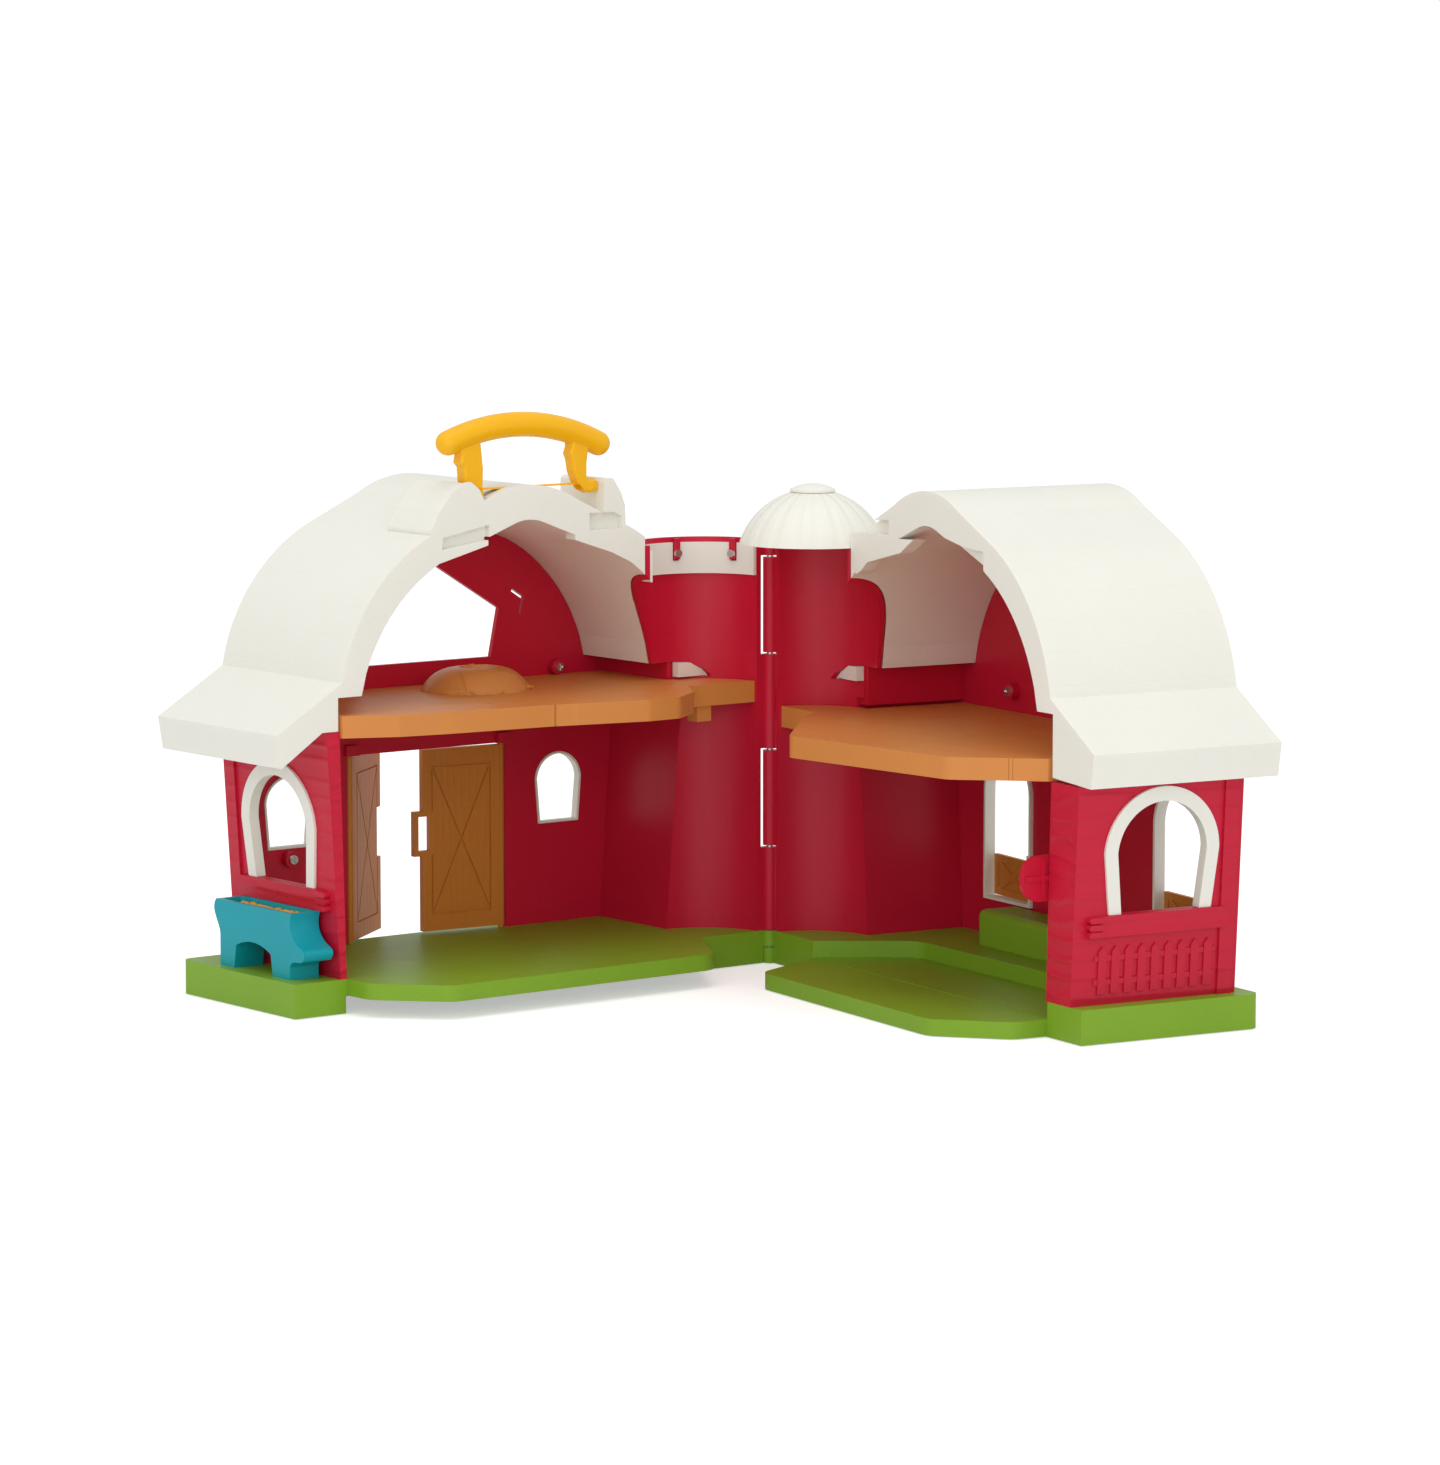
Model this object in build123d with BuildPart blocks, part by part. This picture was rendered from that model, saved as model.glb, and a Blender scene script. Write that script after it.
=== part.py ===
"""Toy barn that splits down its middle into two halves, hinged on a pin beside the silo.

The barn is drawn closed. x runs from the hinge pin to the outer side wall, z is up, and the
cut plane between the halves is y = 0: the front half, with the doors, lies at -y and the back
half at +y. A depth, called v, is measured from the cut plane into either half. When a piece is
written, its half is opened to the rest angle and its leaves are swung ajar.
"""
from build123d import *
from math import cos, radians, sin, sqrt, tan
import os

# ---------------------------------------------------------------- driving dimensions, mm
BASE_W = 330.0          # hinge axis to the outer edge of the base
BASE_D = 116.5          # cut plane to the front or back edge of the base
BASE_U0 = 20.0          # silo-side edge of the base
DECK = 19.0             # top of the base
LAP = 9.5               # height where the front lip lies on the back tongue
GAP = 0.3               # each half stops this short of the cut plane
PLATE = 3.0             # wall of the green mouldings
WALL = 3.0              # wall of the red mouldings
REST_OPENING = 82.0     # degrees between the halves at rest

SILO_U = 48.0           # silo axis, on the cut plane
SILO_R = 41.5
SILO_TOP = 247.5
FOOT_R = 43.5           # round foot of the base under the silo

PIN_R = 2.0
BORE_R = 2.08
BARREL_R = 4.2
BARREL_GAP = 1.2
BARREL_Z = (19.3, 69.0, 125.6, 181.5, 237.7, 246.0)

WALL_TOP = 156.5        # the roof sits on the walls here
FACADE_IN = 103.5       # inner face of the front and back walls
FACADE_OUT = 106.5
CENTRE_U = 171.0        # ridge
OUT_LEAN = 3.5          # degrees that the outer side walls lean out
SILO_LEAN = 4.2         # degrees that the silo-side walls lean out
SILO_SIDE_U = 46.3      # inner face of the silo-side wall at the deck
FRONT_SIDE_U = 299.8    # outer face of the front half's side wall at the deck
BACK_SIDE_U = 319.0     # outer face of the back half's side wall at the deck
POST_U = 295.8          # inner edge of both side walls' end faces

ROOF_V = 121.0          # roof overhangs the facades to here
RIDGE_Z = 285.7
EAVE_HALF = 169.5       # ridge to eave tip
SOFFIT_Z = 175.0
ROOF_SKIN = 2.5
ROOF_RIM = 6.0          # solid end rims of a roof

FLOOR_T = 12.2
FRONT_FLOOR_Z = 152.8   # underside of the front half's upper floor
BACK_FLOOR_Z = 138.6    # one thickness lower, so the two floors stack when closed

DOOR_U0 = 114.7         # doorway
DOOR_U1 = 225.3
DOOR_TOP = 127.5
DOOR_V = 105.0          # pintle line of the doors, mid-wall
LEAF_T = 4.0
PINTLE_R = 1.55
PINTLE_BORE = 1.65
SILO_DOOR_ANGLE = 6.0   # degrees open at rest
OUTER_DOOR_ANGLE = 38.0

GATE_CENTRES = (96.0, 271.0)   # the two arched back openings
GATE_HALF = 23.0
GATE_SILL = 41.4
GATE_TOP = 65.5
GATE_ANGLE = 4.0

HANDLE_U = 168.5        # middle of the carry handle
HANDLE_V = 9.5          # its pivot, just behind the cut plane
HANDLE_Z = 282.0
PIVOT_R = 3.0
PIVOT_BORE = 3.08
PIVOT_SPAN = 100.0      # outer ends of its two pivot pins
PIVOT_CENTRE = (162.5, -HANDLE_V, HANDLE_Z)
DOME_R = 41.8
CLEAR = 0.3             # room left around anything curved that moves

FRONT = 1
BACK = -1
BIG = 900.0
ORIGIN_U = 165.0        # the frame's origin: a post foot under the front base
ORIGIN_V = 86.0

HINGE_AXIS = Axis((0, 0, 0), (0, 0, 1))


# ---------------------------------------------------------------- helpers
def upright(side, depth):
    """Vertical plane at a depth in one half, x along u and y up; +amount goes deeper in front."""
    return Plane.XZ.offset(side * depth)


def at(side, u, v):
    """Plan position of a point (u, v) of one half."""
    return (u, -side * v)


def keep_half(side, depth=GAP):
    """Keep only what lies deeper than the cut plane in the active plan sketch."""
    with Locations(at(side, 0, depth + BIG / 2)):
        Rectangle(BIG, BIG, mode=Mode.INTERSECT)


def block(side, u, v, z, mode=Mode.ADD):
    """Block from ranges of u, v and z, in the active part."""
    middle = (sum(u) / 2, -side * sum(v) / 2, sum(z) / 2)
    with Locations(middle):
        Box(u[1] - u[0], v[1] - v[0], z[1] - z[0], mode=mode)


def post(point, radius, z0, z1, mode=Mode.ADD):
    """Upright cylinder at a plan position, in the active part."""
    with Locations((point[0], point[1], (z0 + z1) / 2)):
        Cylinder(radius, z1 - z0, mode=mode)


def lean(u, z, degrees):
    """u of a leaning wall at height z, from its u at the deck."""
    return u + (z - DECK) * tan(radians(degrees))


def write(piece, name, side=FRONT, swing=None):
    """Label a piece, swing it about its own pivot, open its half, and write it."""
    solid = piece.part
    if swing is not None:
        axis, degrees = swing
        solid = solid.rotate(axis, degrees)
    if side == BACK:
        solid = solid.rotate(HINGE_AXIS, REST_OPENING)
    solid = solid.moved(Location((-ORIGIN_U, ORIGIN_V, 0)))
    solid.label = name
    export_step(solid, f"parts/{name}.step")


def mirror_u(u):
    """The same distance on the other side of the ridge."""
    return 2 * CENTRE_U - u


# ---------------------------------------------------------------- section of the roof
# Right-hand points of the outer skin, from the crest down to the eave, and of the lining.
CREST = (205.0, 276.0)
SHOULDER = (240.0, 259.8)
CHEEK = (277.5, 228.5)
BREAK = (297.5, 183.0)
EAVE_TOP = (340.5, 157.0)
EAVE_LOW = (337.5, 138.5)
IN_CREST = (181.0, 264.6)
IN_SHOULDER = (229.0, 246.6)
IN_CHEEK = (262.0, 221.0)
IN_FOOT = (281.5, 187.0)
IN_END = (284.5, SOFFIT_Z)
SEAT_U = 300.2          # the roof's inner plate stands just inside the side wall's top


def other(point):
    return (mirror_u(point[0]), point[1])


def outer_edge():
    """Outer skin from the silo-side eave over the ridge to the outer eave."""
    Line(other(EAVE_TOP), other(BREAK))
    ThreePointArc(other(BREAK), other(CHEEK), other(SHOULDER))
    Line(other(SHOULDER), other(CREST))
    ThreePointArc(other(CREST), (CENTRE_U, RIDGE_Z), CREST)
    Line(CREST, SHOULDER)
    ThreePointArc(SHOULDER, CHEEK, BREAK)
    Line(BREAK, EAVE_TOP)


def lining_edge(drop=0.0):
    """Lining of the roof from foot to foot; drop lowers and narrows it by that much."""
    def shift(point):
        return (point[0] - drop, point[1] - drop * 0.8)
    left = [other(shift(p)) for p in (IN_END, IN_FOOT, IN_CHEEK, IN_SHOULDER, IN_CREST)]
    right = [shift(p) for p in (IN_CREST, IN_SHOULDER, IN_CHEEK, IN_FOOT, IN_END)]
    Line(left[0], left[1])
    ThreePointArc(left[1], left[2], left[3])
    Line(left[3], left[4])
    ThreePointArc(left[4], (CENTRE_U, 266.5 - drop * 0.8), right[0])
    Line(right[0], right[1])
    ThreePointArc(right[1], right[2], right[3])
    Line(right[3], right[4])


def roof_section(outer_foot):
    """Closed section of a roof; outer_foot lists the fascia's underside at the outer eave."""
    with BuildLine() as outline:
        outer_edge()
        Polyline(EAVE_TOP, EAVE_LOW, *outer_foot, (SEAT_U, SOFFIT_Z), IN_END)
        lining_edge()
        Polyline(other(IN_END), (41.8, SOFFIT_Z), (41.8, WALL_TOP + 0.2), (33.0, WALL_TOP + 0.2),
                 other(EAVE_LOW), other(EAVE_TOP))
    make_face(outline.edges())


def barn_room():
    """Everything inside the walls and the roof lining, in section."""
    with BuildLine() as outline:
        lining_edge()
        Polyline(IN_END, (SEAT_U, SOFFIT_Z), (SEAT_U, DECK), (SILO_SIDE_U, DECK),
                 (lean(SILO_SIDE_U, WALL_TOP, -SILO_LEAN), WALL_TOP), (42.3, WALL_TOP),
                 (42.3, SOFFIT_Z), other(IN_END))
    make_face(outline.edges())



# ---------------------------------------------------------------- base
TONGUE = [(50, -GAP), (80, 52), (262, 54), (295, 20), (295.5, -GAP)]
TONGUE_ROUND = 14.0
FEET = [(70, 100), (ORIGIN_U, ORIGIN_V), (270, 100), (312, 20)]   # posts that stand on the table
FOOT_POST_R = 7.0
POCKET = (60.0, 54.0)   # hollows between the ribs underneath
RIB = 2.0
BLOCK_TOP = 39.2        # step under the back openings
BLOCK_V = 76.0
BLOCK_U = (104.0, 313.0)
KNUCKLE_FREE = BARREL_R + 0.4


def base_outline(side, inset=0.0):
    """Plan of one half of the base: a rectangle and the round foot of the silo."""
    with Locations(at(side, (BASE_U0 + BASE_W) / 2, BASE_D / 2)):
        Rectangle(BASE_W - BASE_U0 - 2 * inset, BASE_D - 2 * inset)
    with Locations((SILO_U, 0)):
        Circle(FOOT_R - inset)
    keep_half(side, GAP + inset)


def lap(side, grow=0.0, mode=Mode.ADD):
    """Plan of the tongue that this half pushes under or over the other one."""
    with BuildSketch() as tongue:
        Polygon(*[(u, side * v) for u, v in TONGUE], align=None)
        fillet(tongue.vertices().filter_by(lambda p: abs(p.Y) > 15), TONGUE_ROUND)
        if grow:
            offset(amount=grow, mode=Mode.REPLACE)
    add(tongue.sketch, mode=mode)


def cells(side):
    """Grid of hollows between ribs, over the whole half and its tongue."""
    with Locations(at(side, (BASE_U0 + BASE_W) / 2, BASE_D / 2)):
        with GridLocations(POCKET[0] + RIB, POCKET[1] + RIB, 6, 5):
            Rectangle(*POCKET)


def deck_hollows(side, ceiling):
    """Ribbed hollows under the deck, outside the room of the two tongues."""
    with BuildPart() as hollow:
        with BuildSketch():
            cells(side)
        extrude(amount=ceiling)
        with BuildSketch():
            base_outline(side, PLATE)
        extrude(amount=ceiling, mode=Mode.INTERSECT)
        with BuildSketch():
            lap(-side, grow=1.0 + PLATE)
        extrude(amount=ceiling, mode=Mode.SUBTRACT)
        with Locations([at(side, u, v) for u, v in FEET]):
            Cylinder(FOOT_POST_R, 2 * ceiling, mode=Mode.SUBTRACT)
        post((0, 0), 8.5, 0, ceiling, mode=Mode.SUBTRACT)
    return hollow.part


def lap_hollows(side, far, floor, ceiling):
    """Ribbed hollows under the tongue (far) or under the floor over the tongues' room."""
    with BuildPart() as hollow:
        with BuildSketch(Plane.XY.offset(floor)):
            cells(side)
        extrude(amount=ceiling - floor)
        with BuildSketch(Plane.XY.offset(floor)):
            lap(far, grow=-PLATE)
        extrude(amount=ceiling - floor, mode=Mode.INTERSECT)
    return hollow.part


def base_half(side, room_z, tongue_z, hollows):
    """Base half with its tongue, and with room for the other half's tongue."""
    with BuildPart() as base:
        with BuildSketch():
            base_outline(side)
        extrude(amount=DECK)
        rim = base.edges().filter_by(Axis.Z).group_by(Axis.Y)
        fillet(rim[0 if side == FRONT else -1], 7)
        with BuildSketch(Plane.XY.offset(room_z[0])):
            lap(-side, grow=1.0)
        extrude(amount=room_z[1] - room_z[0], mode=Mode.SUBTRACT)
        with BuildSketch(Plane.XY.offset(tongue_z[0])):
            lap(side)
        extrude(amount=tongue_z[1] - tongue_z[0])
        post((0, 0), KNUCKLE_FREE, 0, DECK, mode=Mode.SUBTRACT)
        post((0, 0), BARREL_R, *tongue_z)
        block(side, (0, 9), (GAP, 4), tongue_z)
        for hollow in hollows:
            add(hollow, mode=Mode.SUBTRACT)
        post((0, 0), BORE_R, 0, DECK, mode=Mode.SUBTRACT)
    return base


FRONT_LAP = (LAP + 0.3, DECK)
BACK_LAP = (0, LAP - 0.3)
FRONT_HOLLOWS = [deck_hollows(FRONT, DECK - PLATE),
                 lap_hollows(FRONT, FRONT, FRONT_LAP[0], DECK - PLATE),
                 lap_hollows(FRONT, BACK, FRONT_LAP[0], DECK - PLATE)]
BACK_HOLLOWS = [deck_hollows(BACK, DECK - PLATE),
                lap_hollows(BACK, BACK, 0, BACK_LAP[1] - PLATE),
                lap_hollows(BACK, FRONT, 0, BACK_LAP[1] - PLATE)]

with BuildPart() as front_base:
    add(base_half(FRONT, (0, LAP), FRONT_LAP, FRONT_HOLLOWS).part)
    for door_u in (DOOR_U0 + 2.5, DOOR_U1 - 2.5):
        post(at(FRONT, door_u, DOOR_V), PINTLE_BORE, DECK - PLATE, DECK, mode=Mode.SUBTRACT)

with BuildPart() as back_base:
    add(base_half(BACK, (LAP, DECK), BACK_LAP, BACK_HOLLOWS).part)
    with BuildSketch(Plane.XY.offset(DECK)):
        with Locations(at(BACK, sum(BLOCK_U) / 2, (BLOCK_V + FACADE_IN) / 2 - 0.1)):
            RectangleRounded(BLOCK_U[1] - BLOCK_U[0], FACADE_IN - BLOCK_V - 0.2, 5)
    extrude(amount=BLOCK_TOP - DECK)
    fillet(back_base.faces().sort_by(Axis.Z)[-1].edges().sort_by(Axis.Y)[0], 4)


# ---------------------------------------------------------------- walls
def lean_slab(side, u_deck, degrees, thick, v, top):
    """Leaning wall slab; its outer face stands at u_deck on the deck, thick goes inward."""
    with BuildSketch(upright(side, v[0])) as section:
        Polygon((u_deck, DECK), (lean(u_deck, top, degrees), top),
                (lean(u_deck, top, degrees) - thick, top), (u_deck - thick, DECK), align=None)
    extrude(section.sketch, amount=side * (v[1] - v[0]))


def arch_face(centre, foot_half, half, foot, spring, top):
    """Horseshoe arch: legs that spread up to the spring line, and a round head."""
    left, right = (centre - half, spring), (centre + half, spring)
    with BuildLine() as outline:
        Line((centre - foot_half, foot), left)
        ThreePointArc(left, (centre, top), right)
        Line(right, (centre + foot_half, foot))
        Line((centre + foot_half, foot), (centre - foot_half, foot))
    make_face(outline.edges())


SIDE_SILL_Z = 68.0      # side windows stand on this height
TRIM_W = 8.0            # face width of a side window's trim
TRIM_PROUD = 1.6
SLEEVE = 2.0            # the trim's sleeve through the wall
SILL_MID = -5.9         # middle of the sill plank below the window's foot
FRONT_WINDOW_V = 52.0
BACK_WINDOW_V = 54.4


def side_arch(v, grow=0.0, drop=0.0):
    """Side window in its wall's plane, grown by a margin, with its foot lowered by drop."""
    arch_face(v, 24.8 + grow, 28.6 + grow, -drop, 33.0, 60.2 + grow)


def wall_plane(side, u_deck, outward=0.0):
    """Plane of a leaning side wall: x runs back, y climbs the wall, z points outward."""
    tilt = radians(OUT_LEAN)
    origin = (lean(u_deck, SIDE_SILL_Z, OUT_LEAN), 0, SIDE_SILL_Z)
    face = Plane(origin=origin, x_dir=(0, 1, 0), z_dir=(cos(tilt), 0, -sin(tilt)))
    return face.offset(outward)


def side_wall(side, u_deck, top, window_v, flange):
    """Leaning outer side wall with its window, sill plank, end flange and corner batten."""
    with BuildPart() as wall:
        lean_slab(side, u_deck, OUT_LEAN, WALL, (GAP, FACADE_IN - 0.2), top)
        with BuildSketch(upright(side, GAP)):
            Polygon(*flange, (lean(u_deck, top, OUT_LEAN), top), (u_deck, DECK), align=None)
        extrude(amount=side * WALL)
        lean_slab(side, u_deck + 1.5, OUT_LEAN, 2.5, (94, FACADE_IN - 0.2), top)
        with BuildSketch(wall_plane(side, u_deck)):
            with Locations((-side * (window_v - 0.5), SILL_MID)):
                RectangleRounded(88, 11.5, 3)
        extrude(amount=3.0)
        with BuildSketch(wall_plane(side, u_deck)):
            with Locations((-side * (window_v - 41.5), SILL_MID)):
                with GridLocations(0, 4.0, 1, 3):
                    RectangleRounded(9.5, 3.0, 1.4)
        extrude(amount=4.2)
        with BuildSketch(wall_plane(side, u_deck)):
            side_arch(-side * window_v, SLEEVE + 0.15)
        extrude(amount=12, both=True, mode=Mode.SUBTRACT)
    return wall


def side_trim(side, u_deck, window_v):
    """White horseshoe trim: a face frame whose sleeve lines the opening."""
    with BuildPart() as trim:
        with BuildSketch(wall_plane(side, u_deck, 0.1)):
            side_arch(-side * window_v, TRIM_W)
        extrude(amount=TRIM_PROUD)
        with BuildSketch(wall_plane(side, u_deck, -WALL - 1.5)):
            side_arch(-side * window_v, SLEEVE)
        extrude(amount=WALL + 1.6)
        with BuildSketch(wall_plane(side, u_deck, -WALL - 2)):
            side_arch(-side * window_v, drop=2)
        extrude(amount=WALL + 6, mode=Mode.SUBTRACT)
    return trim


front_side_wall = side_wall(FRONT, FRONT_SIDE_U, WALL_TOP - 0.2, FRONT_WINDOW_V,
                            [(POST_U, DECK), (POST_U + 3.6, WALL_TOP - 0.2)])
BACK_WALL_TOP = 138.4
back_side_wall = side_wall(BACK, BACK_SIDE_U, BACK_WALL_TOP, BACK_WINDOW_V,
                           [(POST_U - 0.8, DECK), (POST_U + 3.2, BACK_WALL_TOP)])
front_side_trim = side_trim(FRONT, FRONT_SIDE_U, FRONT_WINDOW_V)
back_side_trim = side_trim(BACK, BACK_SIDE_U, BACK_WINDOW_V)


# ---------------------------------------------------------------- silo and its barn wall
UPSTAND_U = (42.4, 45.2)    # the silo-side wall's upper strip, inside the roof's foot
EAVE_TONGUE = [(21.8, 166.5), (24.0, 170.0), (33.0, 174.6), (41.6, 174.8), (41.6, 166.5)]


def silo_wall(side, knuckles):
    """Half of the silo, opened into the barn, with the barn's silo-side wall and knuckles."""
    with BuildPart() as wall:
        with BuildSketch(Plane.XY.offset(DECK)):
            with Locations((SILO_U, 0)):
                Circle(SILO_R)
                Circle(SILO_R - WALL, mode=Mode.SUBTRACT)
            keep_half(side)
        extrude(amount=SILO_TOP - DECK)
        with BuildSketch(upright(side, 0)):
            barn_room()
        extrude(amount=side * 60, mode=Mode.SUBTRACT)
        lean_slab(side, SILO_SIDE_U, -SILO_LEAN, WALL, (39, FACADE_IN - 0.2), WALL_TOP)
        block(side, UPSTAND_U, (39, FACADE_IN - 0.2), (WALL_TOP - 4, SOFFIT_Z - 0.4))
        block(side, (lean(SILO_SIDE_U, WALL_TOP - 4, -SILO_LEAN) - 1, UPSTAND_U[1]),
              (39, FACADE_IN - 0.2), (WALL_TOP - 4, WALL_TOP))
        with BuildSketch(upright(side, 26)) as slot:
            Polygon(*EAVE_TONGUE, align=None)
            offset(amount=0.4, mode=Mode.REPLACE)
        extrude(slot.sketch, amount=side * 20, mode=Mode.SUBTRACT)
        for z0, z1 in knuckles:
            post((0, 0), BARREL_R, z0, z1)
            block(side, (0, 9), (GAP, 4), (z0, z1))
        post((0, 0), BORE_R, DECK, SILO_TOP, mode=Mode.SUBTRACT)
    return wall


LINER_Z = (226.5, 244.6)
TAB_TURNS = (101.0, 155.0)      # two tabs around the front half of the silo
TAB_R = 36.4
TAB_T = 4.4
TAB_W = 3.4
TAB_Z = 241.0


def liner_spot(radius, turn, z):
    """Place on the silo's inner face in the front half, x pointing away from the silo axis."""
    angle = -turn
    return Location((SILO_U + radius * cos(radians(angle)), radius * sin(radians(angle)), z),
                    (0, 0, angle))


z1, z2, z3, z4, z5, z6 = BARREL_Z
front_silo_wall = silo_wall(FRONT, [(z1, z2 - BARREL_GAP), (z3, z4 - BARREL_GAP), (z5, z6)])
back_silo_wall = silo_wall(BACK, [(z2, z3 - BARREL_GAP), (z4, z5 - BARREL_GAP)])

with front_silo_wall:
    for turn in TAB_TURNS:
        with Locations(liner_spot(TAB_R, turn, TAB_Z)):
            Box(TAB_T, TAB_W, 12)

with BuildPart() as hinge_pin:
    post((0, 0), PIN_R, 1.5, z6 - 0.5)
    chamfer(hinge_pin.faces().filter_by(Axis.Z).edges(), 0.5)

with BuildPart() as silo_liner:
    with BuildSketch(Plane.XY.offset(LINER_Z[0])):
        with Locations((SILO_U, 0)):
            Circle(SILO_R - WALL - 0.1)
            Circle(SILO_R - WALL - 2.1, mode=Mode.SUBTRACT)
        keep_half(FRONT, GAP + 0.5)
    extrude(amount=LINER_Z[1] - LINER_Z[0])
    for turn in TAB_TURNS:
        with Locations(liner_spot(TAB_R, turn, TAB_Z + 8)):
            Box(TAB_T + 8, TAB_W + 0.8, 30, mode=Mode.SUBTRACT)
    with BuildSketch(upright(FRONT, 0)):
        with BuildLine():
            lining_edge()
            Polyline(IN_END, other(IN_END))
        make_face()
    extrude(amount=60, mode=Mode.SUBTRACT)


# ---------------------------------------------------------------- facades
def gable(outer_foot, clear=0.35):
    """Outline of a front or back wall, up into the roof's lining."""
    top_left = lean(SILO_SIDE_U - WALL, WALL_TOP, -SILO_LEAN)
    with BuildLine() as outline:
        lining_edge(clear)
        Polyline((IN_END[0] - clear, IN_END[1] - clear * 0.8), (SEAT_U - clear, SOFFIT_Z - 0.3),
                 *outer_foot, (SILO_SIDE_U - WALL, DECK), (top_left, WALL_TOP),
                 (mirror_u(SEAT_U) + clear, WALL_TOP), (mirror_u(SEAT_U) + clear, SOFFIT_Z - 0.3),
                 (mirror_u(IN_END[0]) + clear, IN_END[1] - clear * 0.8))
    make_face(outline.edges())


def facade_arch(centre, grow=0.0):
    """Small arched window of the front."""
    arch_face(centre, 13.0 + grow, 15.2 + grow, 79.0 - grow, 104.0, 118.0 + grow)


SMALL_WINDOWS = (76.8, mirror_u(76.8))
top_u = lean(FRONT_SIDE_U, WALL_TOP, OUT_LEAN)
with BuildPart() as front_facade:
    with BuildSketch(upright(FRONT, FACADE_IN)):
        gable([(SEAT_U - 0.35, WALL_TOP - 0.2), (top_u, WALL_TOP - 0.2), (FRONT_SIDE_U, DECK)])
        with Locations(((DOOR_U0 + DOOR_U1) / 2, (DECK + DOOR_TOP) / 2)):
            Rectangle(DOOR_U1 - DOOR_U0, DOOR_TOP - DECK, mode=Mode.SUBTRACT)
    extrude(amount=WALL)
    for centre in SMALL_WINDOWS:
        with BuildSketch(upright(FRONT, FACADE_IN - 1)):
            facade_arch(centre, 1.5)
        extrude(amount=WALL + 2, mode=Mode.SUBTRACT)
    with BuildSketch(upright(FRONT, FACADE_IN - 1)):
        Polygon((171, 238), (118.7, 206), (124.5, 178), (217.5, 178), (223.3, 206), align=None)
    extrude(amount=WALL + 2, mode=Mode.SUBTRACT)
    with BuildSketch(upright(FRONT, FACADE_IN - 1)):
        with BuildLine():
            Polyline((109.4, 216), (101.6, 211), (103.7, 201.7))
        trace(line_width=1.8)
    extrude(amount=WALL + 2, mode=Mode.SUBTRACT)
    for door_u in (DOOR_U0 + 2.5, DOOR_U1 - 2.5):
        block(FRONT, (door_u - 4.5, door_u + 4.5), (100.5, 109.5), (DOOR_TOP, DOOR_TOP + 6))
        post(at(FRONT, door_u, DOOR_V), PINTLE_BORE, DOOR_TOP - 1, DOOR_TOP + 3.4,
             mode=Mode.SUBTRACT)

with BuildPart() as window_trims:
    for centre in SMALL_WINDOWS:
        with BuildSketch(upright(FRONT, FACADE_OUT + 0.1)):
            facade_arch(centre, 4.5)
        extrude(amount=1.5)
        with BuildSketch(upright(FRONT, FACADE_IN - 0.5)):
            facade_arch(centre, 1.35)
        extrude(amount=WALL + 0.6)
        with BuildSketch(upright(FRONT, FACADE_IN - 1)):
            facade_arch(centre)
        extrude(amount=WALL + 4, mode=Mode.SUBTRACT)


def gate_arch(centre, grow=0.0):
    """Arched opening of the back wall."""
    arch_face(centre, GATE_HALF + grow, GATE_HALF + grow, GATE_SILL - grow, 103.0, 126.0 + grow)


GATE_PIVOT = GATE_HALF - 2.0    # from the middle of an opening to its gate's pintles
GATE_V = 105.4                  # pintle line
GATE_PIN_R = 1.2
GATE_BORE = 1.27
LUG_Z = (GATE_TOP + 0.7, GATE_TOP + 3.7)
back_top_u = lean(BACK_SIDE_U, BACK_WALL_TOP, OUT_LEAN)
with BuildPart() as back_facade:
    with BuildSketch(upright(BACK, FACADE_IN)):
        gable([(SEAT_U - 0.35, 140.4), (back_top_u, BACK_WALL_TOP), (BACK_SIDE_U, DECK)])
    extrude(amount=-WALL)
    for centre in GATE_CENTRES:
        with BuildSketch(upright(BACK, FACADE_IN - 1)):
            gate_arch(centre, 2.0)
        extrude(amount=-WALL - 2, mode=Mode.SUBTRACT)

with BuildPart() as opening_trims:
    for centre in GATE_CENTRES:
        with BuildSketch(upright(BACK, FACADE_OUT + 0.1)):
            gate_arch(centre, 6.0)
        extrude(amount=-1.8)
        with BuildSketch(upright(BACK, FACADE_IN - 2)):
            gate_arch(centre, 1.8)
        extrude(amount=-WALL - 2.1)
        with BuildSketch(upright(BACK, FACADE_IN - 3)):
            gate_arch(centre)
        extrude(amount=-WALL - 8, mode=Mode.SUBTRACT)
        lug_u = centre + GATE_PIVOT
        block(BACK, (lug_u - 2.6, lug_u + 2.4), (103.2, 107.8), LUG_Z)
        post(at(BACK, lug_u, GATE_V), GATE_BORE, GATE_SILL - 1.8, LUG_Z[1], mode=Mode.SUBTRACT)


# ---------------------------------------------------------------- roofs
EAVE_TAIL = 24.0        # the silo-side eave starts this deep, behind the silo
BOSS_DEPTH = 42.0
FRONT_FOOT = [(310.6, WALL_TOP), (SEAT_U, WALL_TOP)]
BACK_FOOT = [(SEAT_U, 140.8)]


def rim_form(side, section, depth, mode=Mode.ADD):
    """Form of the roof's end rim, from its outline on the cut plane."""
    with BuildSketch(upright(side, GAP)) as form:
        Polygon(*section, align=None)
    extrude(form.sketch, amount=side * depth, mode=mode)


def grip_boss(side, section, depth):
    """Rounded hood on the roof beside the carry handle."""
    with BuildSketch(upright(side, GAP)) as hood:
        Polygon(*section, align=None)
        fillet(hood.vertices().sort_by(Axis.Z)[-3:], HOOD_ROUND)
    extrude(hood.sketch, amount=side * depth)


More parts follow.
